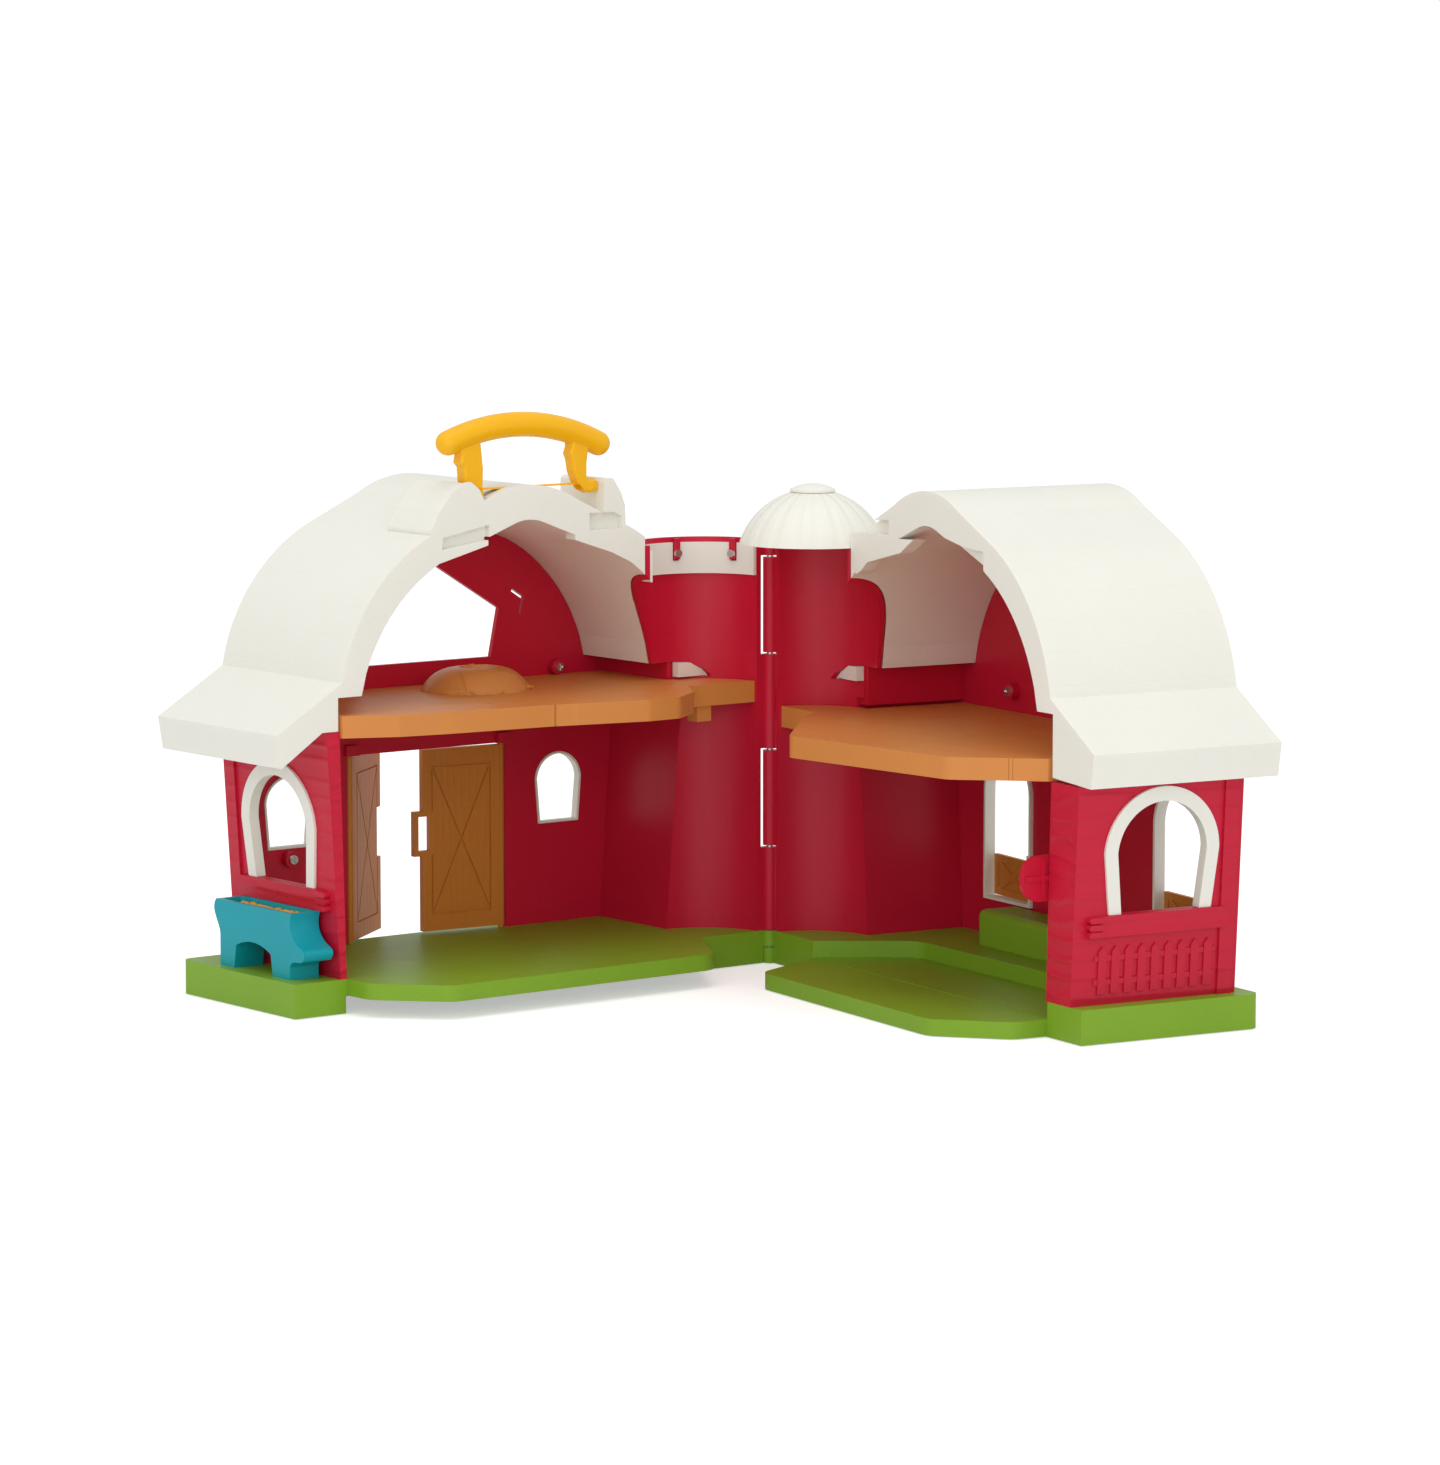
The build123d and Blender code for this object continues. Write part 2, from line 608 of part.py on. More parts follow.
def roof(side, outer_foot, hoods, lips, pockets):
    """Double-skinned gambrel shell: outer skin, lining and end rims, fitted around the silo."""
    with BuildPart() as shell:
        with BuildSketch(upright(side, GAP)) as whole:
            roof_section(outer_foot)
        extrude(whole.sketch, amount=side * (ROOF_V - GAP))
        for section in hoods:
            grip_boss(side, section, BOSS_DEPTH)
        if hoods:
            block(side, LEG_SLOT_U, (3.3, BOSS_DEPTH + 1), (LEG_SLOT_Z, RIDGE_Z + 10), mode=Mode.SUBTRACT)
            with Locations(Location(PIVOT_CENTRE, (0, 90, 0))):
                Cylinder(PIVOT_BORE, PIVOT_SPAN + 1, mode=Mode.SUBTRACT)
        with BuildSketch(upright(side, GAP)) as room:
            with BuildLine():
                lining_edge()
                Polyline(IN_END, other(IN_END))
            make_face()
        extrude(room.sketch, amount=side * BOSS_DEPTH * 2, mode=Mode.SUBTRACT)
        for section in lips:
            rim_form(side, section, LIP_DEPTH)
        for section in pockets:
            rim_form(side, section, POCKET_DEPTH, mode=Mode.SUBTRACT)
        with BuildSketch(upright(side, GAP + ROOF_RIM)) as cavity:
            roof_section(outer_foot)
            offset(amount=-ROOF_SKIN, mode=Mode.REPLACE)
        extrude(cavity.sketch, amount=side * (ROOF_V - GAP - ROOF_RIM - 3), mode=Mode.SUBTRACT)
        post((SILO_U, 0), SILO_R + 0.6, WALL_TOP - 20, RIDGE_Z + 10, mode=Mode.SUBTRACT)
        block(side, (-5, SILO_U), (-1, EAVE_TAIL), (WALL_TOP - 20, RIDGE_Z), mode=Mode.SUBTRACT)
        with BuildSketch(upright(side, 33)) as tongue:
            Polygon(*EAVE_TONGUE, align=None)
        extrude(tongue.sketch, amount=side * 12)
    return shell


HOOD_ROUND = 2.5
LIP_DEPTH = 9.0
POCKET_DEPTH = 4.0
LEG_SLOT_U = (197.6, 214.4)     # the handle's outer leg stands in this slot of the outer hood
LEG_SLOT_Z = 277.8
OUTER_BOSS = [(199.3, 262), (199.3, 271), (201.5, 279), (205, 285), (210.5, 289.4), (216, 288.6),
              (223, 284), (231, 275), (240, 260)]
INNER_BOSS = [(103.6, 258), (104.1, 271.6), (107, 279), (112.3, 286.9), (118.6, 286.9),
              (118.9, 262)]
FRONT_LIPS = [[(199, 253.5), (199, 268), (232, 262), (232, 245)],
              [(100, 239), (100, 256), (139, 262), (139, 253.5), (113, 245)]]
FRONT_POCKETS = [[(198, 256.5), (198, 265), (229.6, 259), (230.3, 252.5)],
                 [(106, 258.5), (106, 265), (112, 268), (129, 268), (129, 258.5)]]
BACK_LIPS = [[(91, 238), (91, 257), (131, 259), (131, 257), (156.4, 257.6), (143, 249.4),
              (107.7, 241.6), (101, 236.4), (96, 234)]]
BACK_POCKETS = [[(186, 250), (186, 262), (194, 260.5), (210, 257.5), (229.2, 256.6),
                 (230.4, 240)],
                [(95, 257.5), (95, 262.5), (103, 265), (131, 267), (131, 259)]]
front_roof = roof(FRONT, FRONT_FOOT, [OUTER_BOSS, INNER_BOSS], FRONT_LIPS, FRONT_POCKETS)
back_roof = roof(BACK, BACK_FOOT, [], BACK_LIPS, BACK_POCKETS)


# ---------------------------------------------------------------- upper floors
FRONT_EDGE = [(299.0, -2), (270, -15), (240, -20), (175, -26), (116, -39), (94, -38), (72, -22),
              (58, 2)]
BACK_EDGE = [(298.0, -1), (281, -22), (264, -43.5), (138, -68), (60, -12), (48, 2)]
FLOOR_U0 = 45.8
FLOOR_PLATE = 3.0
FLOOR_ROUND = 9.0


def floor_plan(side, edge, inset=0.0):
    """Plan of an upper floor: its edge over the cut plane, the barn room and the silo."""
    points = [at(side, u, v) for u, v in edge]
    with BuildSketch() as plan:
        Polygon(*points, at(side, FLOOR_U0, 2), at(side, FLOOR_U0, FACADE_IN - CLEAR),
                at(side, 299.0, FACADE_IN - CLEAR), align=None)
        fillet(plan.vertices().filter_by(lambda p: side * p.Y > 12), FLOOR_ROUND)
        with BuildSketch(mode=Mode.ADD) as silo:
            with Locations((SILO_U, 0)):
                Circle(SILO_R - WALL - CLEAR)
            keep_half(side, 2)
        if inset:
            offset(amount=-inset, mode=Mode.REPLACE)
    return plan.sketch


def upper_floor(side, edge, z):
    """Upper floor: a plate with a deep rim, hollow underneath, with two cross ribs."""
    with BuildPart() as floor:
        extrude(Plane.XY.offset(z) * floor_plan(side, edge), amount=FLOOR_T)
        extrude(Plane.XY.offset(z) * floor_plan(side, edge, PLATE), amount=FLOOR_T - FLOOR_PLATE,
                mode=Mode.SUBTRACT)
        for rib_u in (115, 180, 245):
            block(side, (rib_u, rib_u + RIB), (0, FACADE_IN - 1), (z, z + FLOOR_T - 1))
    return floor


with BuildPart() as front_floor:
    add(upper_floor(FRONT, FRONT_EDGE, FRONT_FLOOR_Z).part)
    block(FRONT, (40, 50), (4, 13), (FRONT_FLOOR_Z - 9, FRONT_FLOOR_Z + 4))
    for radius_u, radius_v, height in ((33, 28, 0), (28, 23, 7), (14, 11, 13)):
        with BuildSketch(Plane.XY.offset(FRONT_FLOOR_Z + FLOOR_T + height)):
            with Locations(at(FRONT, 163.5, 64)):
                Ellipse(radius_u, radius_v)
    loft()

with BuildPart() as back_floor:
    add(upper_floor(BACK, BACK_EDGE, BACK_FLOOR_Z).part)


# ---------------------------------------------------------------- doors of the front
LEAF_Z = (20.5, 126.5)
LEAF_EDGE = 169.6       # the silo-side leaf ends here, the other one mirrors it
LEAF_BARREL = 2.0
GRIP_U = 175.2          # outer end of the grip loop
GRIP_Z = (64.5, 90.5)
BRACE_W = 1.1           # grooves on both faces of a leaf


def leaf(pivot_u, edge_u, z, frame_w, groove):
    """Plank door leaf between its pintle line and its free edge, with an X brace."""
    direction = 1 if edge_u > pivot_u else -1
    width = abs(edge_u - pivot_u)
    height = z[1] - z[0]
    centre = (pivot_u + edge_u) / 2
    with BuildPart() as door:
        block(FRONT, sorted((pivot_u, edge_u)), (DOOR_V - LEAF_T / 2, DOOR_V + LEAF_T / 2), z)
        post(at(FRONT, pivot_u, DOOR_V), LEAF_BARREL, *z)
        post(at(FRONT, pivot_u, DOOR_V), PINTLE_R, z[0] - 3, z[1] + 3)
        half_w, half_h = width / 2 - frame_w, height / 2 - frame_w - 3
        middle = (centre + direction, (z[0] + z[1]) / 2)
        corners = [(middle[0] + x * half_w, middle[1] + y * half_h)
                   for x, y in ((-1, -1), (1, -1), (1, 1), (-1, 1))]
        with BuildSketch(Plane.XY) as brace:
            for first, second in ((0, 1), (1, 2), (2, 3), (3, 0), (0, 2), (1, 3)):
                with BuildLine() as line:
                    Line(corners[first], corners[second])
                trace(line.edges(), line_width=BRACE_W)
        for depth, sign in ((DOOR_V - LEAF_T / 2, 1), (DOOR_V + LEAF_T / 2, -1)):
            extrude(upright(FRONT, depth) * brace.sketch, amount=sign * groove,
                    mode=Mode.SUBTRACT)
    return door


SILO_PIVOT_U = DOOR_U0 + 2.5
OUTER_PIVOT_U = DOOR_U1 - 2.5
with BuildPart() as silo_side_door:
    add(leaf(SILO_PIVOT_U, LEAF_EDGE, LEAF_Z, 7, 0.8).part)
    block(FRONT, (162, GRIP_U), (DOOR_V - 2, DOOR_V + 2), GRIP_Z)
    block(FRONT, (165, GRIP_U - 2.8), (DOOR_V - 3, DOOR_V + 3), (GRIP_Z[0] + 3, GRIP_Z[1] - 3),
          mode=Mode.SUBTRACT)

with BuildPart() as outer_side_door:
    add(leaf(OUTER_PIVOT_U, mirror_u(LEAF_EDGE) - 1.2, LEAF_Z, 7, 0.8).part)
    block(FRONT, (160, GRIP_U + 2.5), (DOOR_V - 3, DOOR_V + 3), (GRIP_Z[0] - 1.5, GRIP_Z[1] + 1.5),
          mode=Mode.SUBTRACT)


# ---------------------------------------------------------------- half gates of the back
GATE_T = 2.6
GATE_REACH = 2 * GATE_HALF - 3.4
GATE_Z = (GATE_SILL + 0.6, GATE_TOP)


def gate(centre):
    """Half gate hinged on the jamb away from the hinge pin: frame, X brace and two pintles."""
    pivot = centre + GATE_PIVOT
    with BuildPart() as leaf_part:
        block(BACK, (pivot - GATE_REACH, pivot), (GATE_V - GATE_T / 2, GATE_V + GATE_T / 2), GATE_Z)
        post(at(BACK, pivot, GATE_V), 1.3, *GATE_Z)
        post(at(BACK, pivot, GATE_V), GATE_PIN_R, GATE_Z[0] - 1.8, GATE_Z[1] + 3)
        mid = ((2 * pivot - GATE_REACH) / 2, sum(GATE_Z) / 2)
        with BuildSketch() as brace:
            with Locations(mid):
                Rectangle(GATE_REACH - 8, GATE_Z[1] - GATE_Z[0] - 8)
                for turn in (27, -27):
                    Rectangle(GATE_REACH + 8, 2.4, rotation=turn, mode=Mode.SUBTRACT)
        for depth, sign in ((GATE_V - GATE_T / 2, -1), (GATE_V + GATE_T / 2, 1)):
            extrude(upright(BACK, depth) * brace.sketch, amount=sign * 0.6, mode=Mode.SUBTRACT)
    return leaf_part


with BuildPart() as silo_side_gate:
    add(gate(GATE_CENTRES[0]).part)
with BuildPart() as outer_side_gate:
    add(gate(GATE_CENTRES[1]).part)


# ---------------------------------------------------------------- dome
DOME_Z = SILO_TOP + 0.6
DOME_RISE = 31.0
DOME_WALL = 2.4
DOME_RIBS = 16


def dome_side(radius, rise, share=0.7):
    """Point of the dome's outline at a share of its radius: (distance from axis, height)."""
    ball = (radius ** 2 + rise ** 2) / (2 * rise)
    return radius * share, sqrt(ball ** 2 - (radius * share) ** 2) - (ball - rise)


def dome_curve(radius, rise, top_share):
    """Outline of a dome from its foot up to a share of its radius."""
    middle = dome_side(radius, rise)
    top = dome_side(radius, rise, top_share)
    ThreePointArc((SILO_U + radius, DOME_Z), (SILO_U + middle[0], DOME_Z + middle[1]),
                  (SILO_U + top[0], DOME_Z + top[1]))
    return SILO_U + top[0], DOME_Z + top[1]


SILO_AXIS = Axis((SILO_U, 0, 0), (0, 0, 1))
INNER_R = DOME_R - DOME_WALL
INNER_RISE = DOME_RISE - DOME_WALL
CAP_R = 13.0
CAP_SEAT_R = 11.5
with BuildPart() as silo_dome:
    with BuildSketch(Plane.XZ):
        with BuildLine() as dome_line:
            outer_top = dome_curve(DOME_R, DOME_RISE, CAP_SEAT_R / DOME_R)
            inner_top = dome_curve(INNER_R, INNER_RISE, CAP_SEAT_R / INNER_R)
            Line(outer_top, inner_top)
            Line((SILO_U + INNER_R, DOME_Z), (SILO_U + DOME_R, DOME_Z))
        make_face(dome_line.line.edges())
    revolve(axis=SILO_AXIS)

CAP_RIM = 1.4
CAP_RISE = 3.4
cap_foot = outer_top[1] + 0.02
cap_out, cap_up = dome_side(CAP_R, CAP_RISE)
with BuildPart() as dome_cap:
    with BuildSketch(Plane.XZ):
        with BuildLine():
            Polyline((SILO_U, cap_foot + CAP_RIM + CAP_RISE), (SILO_U, cap_foot),
                     (SILO_U + CAP_R, cap_foot), (SILO_U + CAP_R, cap_foot + CAP_RIM))
            ThreePointArc((SILO_U + CAP_R, cap_foot + CAP_RIM),
                          (SILO_U + cap_out, cap_foot + CAP_RIM + cap_up),
                          (SILO_U, cap_foot + CAP_RIM + CAP_RISE))
        make_face()
    revolve(axis=SILO_AXIS)


# ---------------------------------------------------------------- latch, trough, handle
with BuildPart() as latch_tab:
    with BuildSketch(Plane.YZ.offset(293.2)) as tab:
        with Locations((2, 86.1)):
            Rectangle(36, 25)
            fillet(tab.vertices().group_by(Axis.X)[0], 11)
    extrude(tab.sketch, amount=2.8)
    block(BACK, (296.0, 297.0), (-14, 18), (85.0, 87.6))
    block(BACK, (296.0, 297.0), (-4, -2), (76, 97))

TROUGH_U = (304.0, 323.0)
TROUGH_RIM = 56.0


def trough_side():
    """Side view of the trough, x along v: legs, curved belly and the curled end."""
    with BuildLine() as outline:
        Polyline((-14, TROUGH_RIM), (-90, TROUGH_RIM))
        Spline((-90, TROUGH_RIM), (-92, 50), (-88, 42), (-86, 36))
        Polyline((-86, 36), (-86, DECK), (-72, DECK), (-70, 32))
        ThreePointArc((-70, 32), (-52, 35.5), (-35, 31))
        Polyline((-35, 31), (-33, DECK), (-16, DECK), (-16, 26))
        Spline((-16, 26), (-11, 29.5), (-3, 31), (-1.5, 35), (-6, 38), (-12, 42), (-14, TROUGH_RIM))
    make_face(outline.edges())


with BuildPart() as trough:
    with BuildSketch(Plane.YZ.offset(TROUGH_U[0])) as trough_view:
        trough_side()
    extrude(trough_view.sketch, amount=TROUGH_U[1] - TROUGH_U[0])
    with BuildSketch(Plane.XY.offset(TROUGH_RIM)) as trough_room:
        with Locations(at(FRONT, sum(TROUGH_U) / 2, 52)):
            RectangleRounded(TROUGH_U[1] - TROUGH_U[0] - 5, 70, 3)
    extrude(trough_room.sketch, amount=-14, taper=8, mode=Mode.SUBTRACT)

with BuildPart() as trough_feed:
    with BuildSketch(Plane.XY.offset(TROUGH_RIM - 9)) as feed_plan:
        with Locations(at(FRONT, sum(TROUGH_U) / 2, 52)):
            RectangleRounded(TROUGH_U[1] - TROUGH_U[0] - 8.2, 66.6, 3)
    extrude(feed_plan.sketch, amount=6)

GRIP_R = 7.0
LEG_V = 9.0
LEG_ROUND = 1.8
LEG_FOOT_R = 4.0
OUTER_LEG = [(213.4, 309), (213.2, 303), (213.9, 299.5), (211.6, 297), (210.5, 284), (198.6, 284),
             (198.2, 296), (199.2, 305), (200, 312), (208, 313)]
INNER_LEG = [(124.9, 308), (126.8, 296), (126.8, 288.5), (124.9, 286.3), (121.5, 287.4),
             (120.2, 285.5), (121.3, 281.3), (124.5, 278.8), (129.4, 280.2), (133.2, 285),
             (135.9, 291.5), (137, 298), (138.6, 301.5), (137.2, 305), (137, 312), (130, 313)]


def grip_leg(points):
    """Rounded leg of the handle from its outline, seen along v."""
    with BuildPart() as leg:
        with BuildSketch(upright(FRONT, HANDLE_V - LEG_V / 2)) as view:
            Polygon(*points, align=None)
            fillet(view.vertices(), 0.8)
        extrude(view.sketch, amount=LEG_V)
        fillet(leg.faces().filter_by(Axis.Y).edges(), LEG_ROUND)
    return leg.part


with BuildPart() as carry_handle:
    with BuildLine() as grip_path:
        ThreePointArc((116.5, -HANDLE_V, 306.5), (HANDLE_U, -HANDLE_V, 319.3),
                      (219.5, -HANDLE_V, 310.8))
    with BuildSketch(Plane(origin=grip_path.line @ 0, z_dir=grip_path.line % 0)) as grip_end:
        Circle(GRIP_R)
    sweep(grip_end.sketch, path=grip_path.line)
    with Locations(grip_path.line @ 0, grip_path.line @ 1):
        Sphere(GRIP_R)
    add(grip_leg(OUTER_LEG))
    add(grip_leg(INNER_LEG))
    with Locations(Location((205.9, -HANDLE_V, HANDLE_Z), (0, 90, 0))):
        Cylinder(LEG_FOOT_R, 15)
    with Locations(Location(PIVOT_CENTRE, (0, 90, 0))):
        Cylinder(PIVOT_R, PIVOT_SPAN)
    block(FRONT, (127, 198.4), (HANDLE_V - 4, HANDLE_V + 4), (277, 284), mode=Mode.SUBTRACT)


# ---------------------------------------------------------------- screws
SCREW_R = 3.0
SCREW_H = 1.8
BOSS_R = 4.5
BOSS_H = 5.0
FRONT_BOSSES = [(79.5, 169.7), (266.0, 72.0), (258.0, 169.7)]     # u and z on the facade
BACK_BOSSES = [(102.0, 163.0), (240.0, 163.0), (183.5, 72.0)]


def screw_heads(side, spots, depth):
    """Pan-head screws whose heads face the cut plane, at (u, z) spots on a face at a depth."""
    with BuildPart() as heads:
        for u, z in spots:
            with BuildSketch(upright(side, depth - 0.05)) as disc:
                with Locations((u, z)):
                    Circle(SCREW_R)
            extrude(disc.sketch, amount=-side * SCREW_H, taper=14)
            with BuildSketch(upright(side, depth - SCREW_H - 0.05)) as cross:
                with Locations((u, z)):
                    Rectangle(3.4, 0.9)
                    Rectangle(0.9, 3.4)
            extrude(cross.sketch, amount=side * 0.9, mode=Mode.SUBTRACT)
    return heads


def screw_bosses(side, spots):
    """Round bosses on the inner face of a facade, under the screw heads."""
    with BuildPart() as bosses:
        for u, z in spots:
            with BuildSketch(upright(side, FACADE_IN - BOSS_H)) as disc:
                with Locations((u, z)):
                    Circle(BOSS_R)
            extrude(disc.sketch, amount=side * (BOSS_H + 1))
    return bosses.part


with front_facade:
    add(screw_bosses(FRONT, FRONT_BOSSES))
with back_facade:
    add(screw_bosses(BACK, BACK_BOSSES))
front_screws = screw_heads(FRONT, FRONT_BOSSES, FACADE_IN - BOSS_H)
with front_screws:
    for turn in TAB_TURNS:
        face = liner_spot(TAB_R - TAB_T / 2 - 0.77, turn, TAB_Z - 2.6)
        with Locations(face * Location((0, 0, 0), (0, 90, 0))):
            Cylinder(2.2, 1.5)
back_screws = screw_heads(BACK, BACK_BOSSES, FACADE_IN - BOSS_H)

# ---------------------------------------------------------------- writing
os.makedirs("parts", exist_ok=True)


def door_swing(pivot_u, angle):
    """Swing of a front leaf about its pintles."""
    return Axis((pivot_u, -DOOR_V, 0), (0, 0, 1)), angle


for piece, name in ((front_base, "front_base"), (front_facade, "front_facade"),
                    (front_side_wall, "front_side_wall"), (front_silo_wall, "front_silo_wall"),
                    (front_roof, "front_roof"), (front_floor, "front_upper_floor"),
                    (silo_liner, "silo_liner"), (front_side_trim, "front_side_window_trim"),
                    (window_trims, "front_window_trims"), (hinge_pin, "hinge_pin"),
                    (front_screws, "front_screws"), (trough, "feed_trough"),
                    (trough_feed, "trough_feed"), (carry_handle, "carry_handle")):
    write(piece, name)

write(silo_side_door, "silo_side_door", swing=door_swing(SILO_PIVOT_U, -SILO_DOOR_ANGLE))
write(outer_side_door, "trough_side_door", swing=door_swing(OUTER_PIVOT_U, OUTER_DOOR_ANGLE))

for piece, name in ((back_base, "back_base"), (back_facade, "back_facade"),
                    (back_side_wall, "back_side_wall"), (back_silo_wall, "back_silo_wall"),
                    (back_roof, "back_roof"), (back_floor, "back_upper_floor"),
                    (silo_dome, "silo_dome"), (dome_cap, "dome_cap"),
                    (back_side_trim, "back_side_window_trim"), (latch_tab, "latch_tab"),
                    (opening_trims, "back_opening_trims"), (back_screws, "back_screws")):
    write(piece, name, BACK)

for piece, name, centre in ((silo_side_gate, "silo_side_gate", GATE_CENTRES[0]),
                            (outer_side_gate, "latch_side_gate", GATE_CENTRES[1])):
    pivot = Axis((centre + GATE_PIVOT, GATE_V, 0), (0, 0, 1))
    write(piece, name, BACK, swing=(pivot, -GATE_ANGLE))
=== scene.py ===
# %% [markdown]
# # A toy barn that opens like a book
# The barn comes in as a packed set of solids: two halves on one hinge pin, doors, half gates,
# a folding handle and a feed trough. This lesson gives every solid its moulded finish, adds the
# small details that the solids leave out, such as straw and feed, and lights it in a studio.

# %% Load the solids
import bmesh
import bpy
import math
import random
from mathutils import Matrix, Vector


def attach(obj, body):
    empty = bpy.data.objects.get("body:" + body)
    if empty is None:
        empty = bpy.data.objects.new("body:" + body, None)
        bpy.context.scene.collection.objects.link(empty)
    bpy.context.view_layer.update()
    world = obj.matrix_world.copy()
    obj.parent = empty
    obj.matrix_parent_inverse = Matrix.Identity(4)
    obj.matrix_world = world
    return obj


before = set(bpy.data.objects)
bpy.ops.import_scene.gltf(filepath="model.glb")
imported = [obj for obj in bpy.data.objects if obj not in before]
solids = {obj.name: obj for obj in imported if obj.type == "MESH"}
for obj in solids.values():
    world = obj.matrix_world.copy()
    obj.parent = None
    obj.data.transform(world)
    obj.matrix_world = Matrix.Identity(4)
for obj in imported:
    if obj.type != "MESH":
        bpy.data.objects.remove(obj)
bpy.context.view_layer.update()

# %% [markdown]
# ## Where each half is
# The patterns on a wall should follow that wall. The barn is modelled closed and then swung open,
# so the back half stands turned by 82 degrees about the pin. A Mapping node undoes the swing, and
# every pattern can then be laid out in the closed barn's own directions: x along the barn from
# the pin, y across it, z up.

# %% Hinge and half turns
PIN = Vector((-0.165, 0.086, 0.0))
OPENED = math.radians(82.0)
SILO_X = 0.048
RIDGE_X = 0.171
RIDGE_Z = 0.2857
FRONT_HALF = Matrix.Translation(PIN)
BACK_HALF = Matrix.Translation(PIN) @ Matrix.Rotation(OPENED, 4, "Z")
print("pin stands at", tuple(PIN))

# %% [markdown]
# ## Small helpers for shader nodes
# A finish is a short chain of nodes. These helpers place a node, join two sockets and do one step
# of arithmetic, so that each finish below reads like a recipe.


# %% Node helpers
class Recipe:
    """A new material with its shader, and short ways to add nodes to it."""

    def __init__(self, name):
        self.material = bpy.data.materials.new(name)
        self.material.use_nodes = True
        self.tree = self.material.node_tree
        self.shader = self.tree.nodes["Principled BSDF"]

    def add(self, kind, **settings):
        node = self.tree.nodes.new(kind)
        for key, value in settings.items():
            setattr(node, key, value)
        return node

    def join(self, out_socket, in_socket):
        self.tree.links.new(out_socket, in_socket)

    def math(self, operation, a, b=0.0):
        node = self.add("ShaderNodeMath", operation=operation)
        for socket, value in zip(node.inputs, (a, b)):
            if isinstance(value, (int, float)):
                socket.default_value = value
            else:
                self.join(value, socket)
        return node.outputs[0]

    def barn_place(self, opened):
        """Object coordinates turned back into the closed barn, in metres."""
        coords = self.add("ShaderNodeTexCoord")
        shift = self.add("ShaderNodeMapping", vector_type="POINT")
        shift.inputs["Location"].default_value = -PIN
        self.join(coords.outputs["Object"], shift.inputs["Vector"])
        if not opened:
            return shift.outputs[0]
        turn = self.add("ShaderNodeMapping", vector_type="POINT")
        turn.inputs["Rotation"].default_value = (0, 0, -OPENED)
        self.join(shift.outputs[0], turn.inputs["Vector"])
        return turn.outputs[0]

    def noise(self, place, scale, detail=3.0, roughness=0.55):
        node = self.add("ShaderNodeTexNoise")
        node.inputs["Scale"].default_value = scale
        node.inputs["Detail"].default_value = detail
        node.inputs["Roughness"].default_value = roughness
        self.join(place, node.inputs["Vector"])
        return node.outputs["Fac"]

    def stretch(self, place, scale):
        node = self.add("ShaderNodeMapping", vector_type="POINT")
        node.inputs["Scale"].default_value = scale
        self.join(place, node.inputs["Vector"])
        return node.outputs[0]

    def between(self, fac, low, high):
        """Maps 0..1 to a number between low and high."""
        node = self.add("ShaderNodeMapRange")
        self.join(fac, node.inputs["Value"])
        node.inputs["To Min"].default_value = low
        node.inputs["To Max"].default_value = high
        return node.outputs[0]

    def tint(self, fac, dark, light):
        """Colour between two tones of the same plastic."""
        node = self.add("ShaderNodeMix", data_type="RGBA")
        self.join(fac, node.inputs["Factor"])
        node.inputs["A"].default_value = (*dark, 1)
        node.inputs["B"].default_value = (*light, 1)
        self.join(node.outputs["Result"], self.shader.inputs["Base Color"])

    def bump(self, height, distance, strength=1.0, after=None):
        node = self.add("ShaderNodeBump")
        node.inputs["Distance"].default_value = distance
        node.inputs["Strength"].default_value = strength
        self.join(height, node.inputs["Height"])
        if after is not None:
            self.join(after, node.inputs["Normal"])
        self.join(node.outputs[0], self.shader.inputs["Normal"])
        return node.outputs[0]


print("recipe helpers are ready")

# %% [markdown]
# ## Moulded plastic
# The barn is injection moulded. Such plastic isn't one flat colour: the tone drifts a little where
# the melt cooled, the gloss is uneven, and a fine spark-eroded grain keeps reflections soft. One
# function makes that base, and each colour may add its own relief, because wood grain, planks and
# shingles are cut into the mould and so are all bump, not paint.


# %% Moulded plastic base
def moulded(name, colour, opened=False, gloss=0.36, drift=0.10, soft_light=0.0):
    """Moulded plastic: drifting tone, uneven gloss and a fine grain."""
    recipe = Recipe(name)
    place = recipe.barn_place(opened)
    flow = recipe.noise(place, 14.0, 2.0)
    dark = [c * (1 - drift) for c in colour]
    light = [min(1.0, c * (1 + drift * 0.6)) for c in colour]
    recipe.tint(flow, dark, light)
    recipe.join(recipe.between(recipe.noise(place, 60.0, 4.0), gloss - 0.05, gloss + 0.07),
                recipe.shader.inputs["Roughness"])
    recipe.grain = recipe.bump(recipe.noise(place, 1500.0, 2.0), 0.00006, 0.5)
    recipe.place = place
    recipe.shader.inputs["IOR"].default_value = 1.45
    recipe.shader.inputs["Specular IOR Level"].default_value = 0.35
    if soft_light:
        recipe.shader.inputs["Subsurface Weight"].default_value = soft_light
        recipe.shader.inputs["Subsurface Radius"].default_value = (1.0, 0.8, 0.6)
        recipe.shader.inputs["Subsurface Scale"].default_value = 0.003
    return recipe


print("moulded plastic is ready")

# %% [markdown]
# ## Wood grain cut into the red walls
# Grain runs along the boards of the outer walls in wavy lines. A wave texture gives the lines, its
# distortion bends them, and a squeezed scale draws them out along the board.


